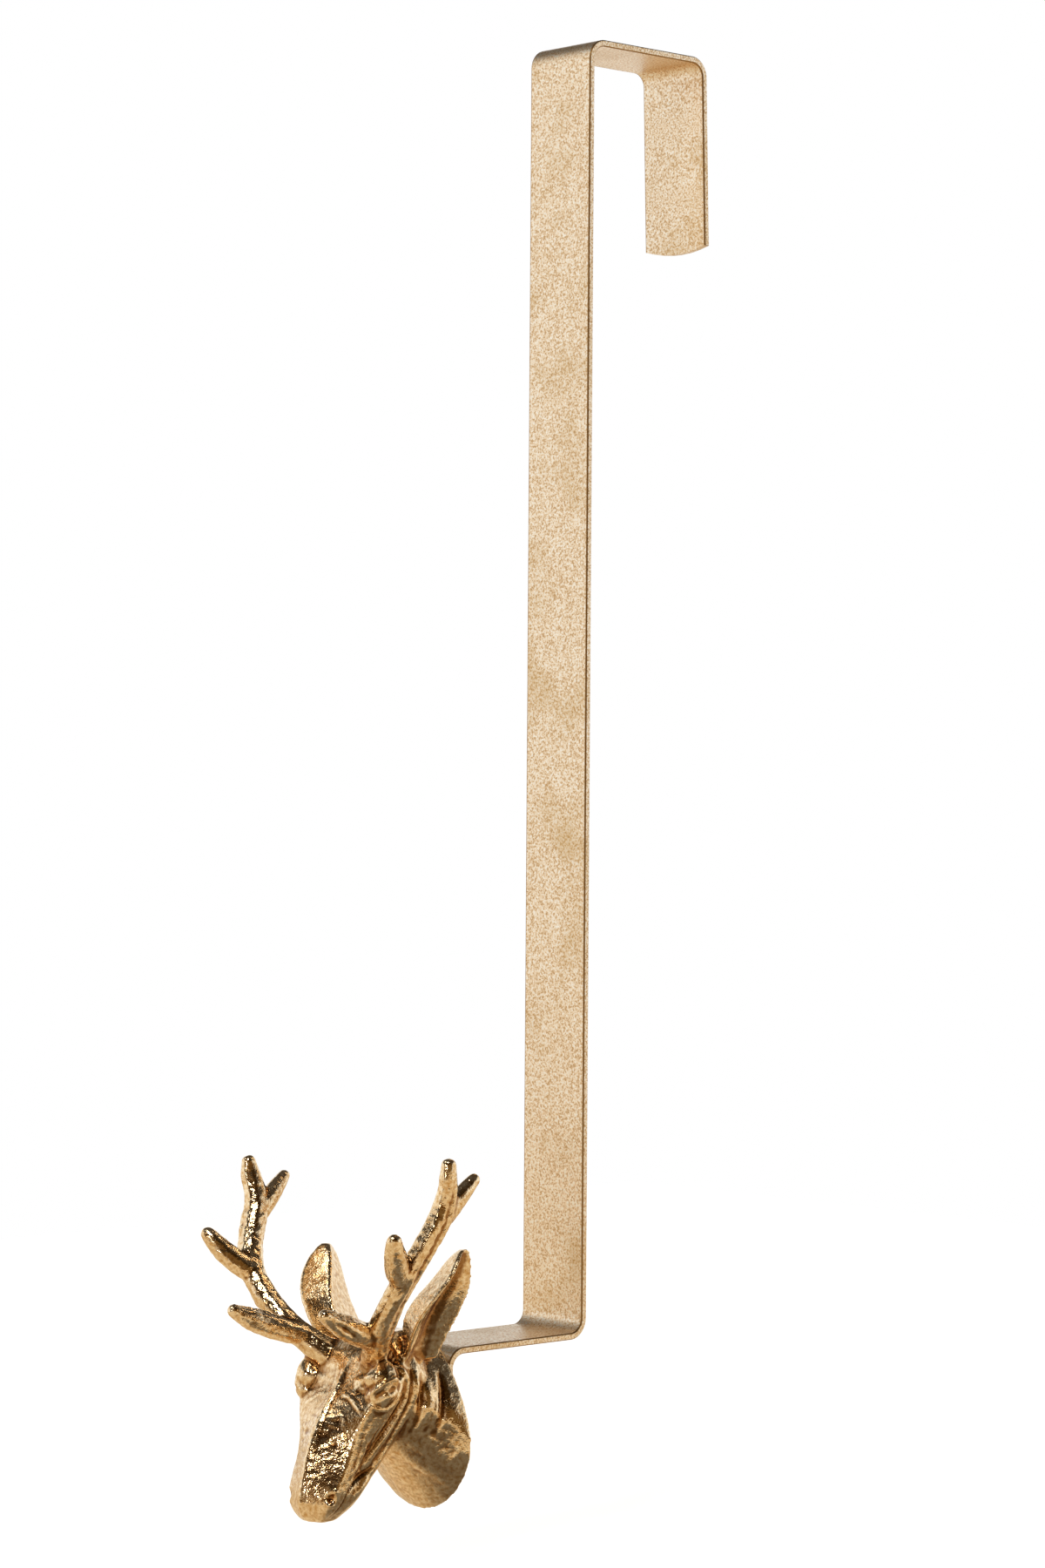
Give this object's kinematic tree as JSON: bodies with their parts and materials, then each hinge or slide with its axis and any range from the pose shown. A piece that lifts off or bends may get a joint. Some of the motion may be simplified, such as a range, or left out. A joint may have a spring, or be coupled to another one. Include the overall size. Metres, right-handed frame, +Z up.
{
  "type": "over-door wreath hanger",
  "caption": "Bent strap that hooks over a door's top edge, with a foot that holds a wreath behind a cast stag's head with forked antlers.",
  "frame": {"origin": "middle of the bridge's underside, where it rests on the door's top edge", "axes": "+X across the door to the viewer's right, +Y through the door into the room behind it, +Z up along the hanging strap"},
  "size_m": [0.0911, 0.1542, 0.4233],
  "materials": {
    "strap_gold": "satin champagne-gold metallic coat with a fine sparkle, on bent steel strip",
    "casting_gold": "bright gold leaf finish on a rough aluminium casting",
    "screw_steel": "plain zinc-plated steel"
  },
  "bodies": {
    "root": {"hanger_strap": "strap_gold", "stag_head": "casting_gold", "head_screw": "screw_steel"}
  },
  "joints": []
}
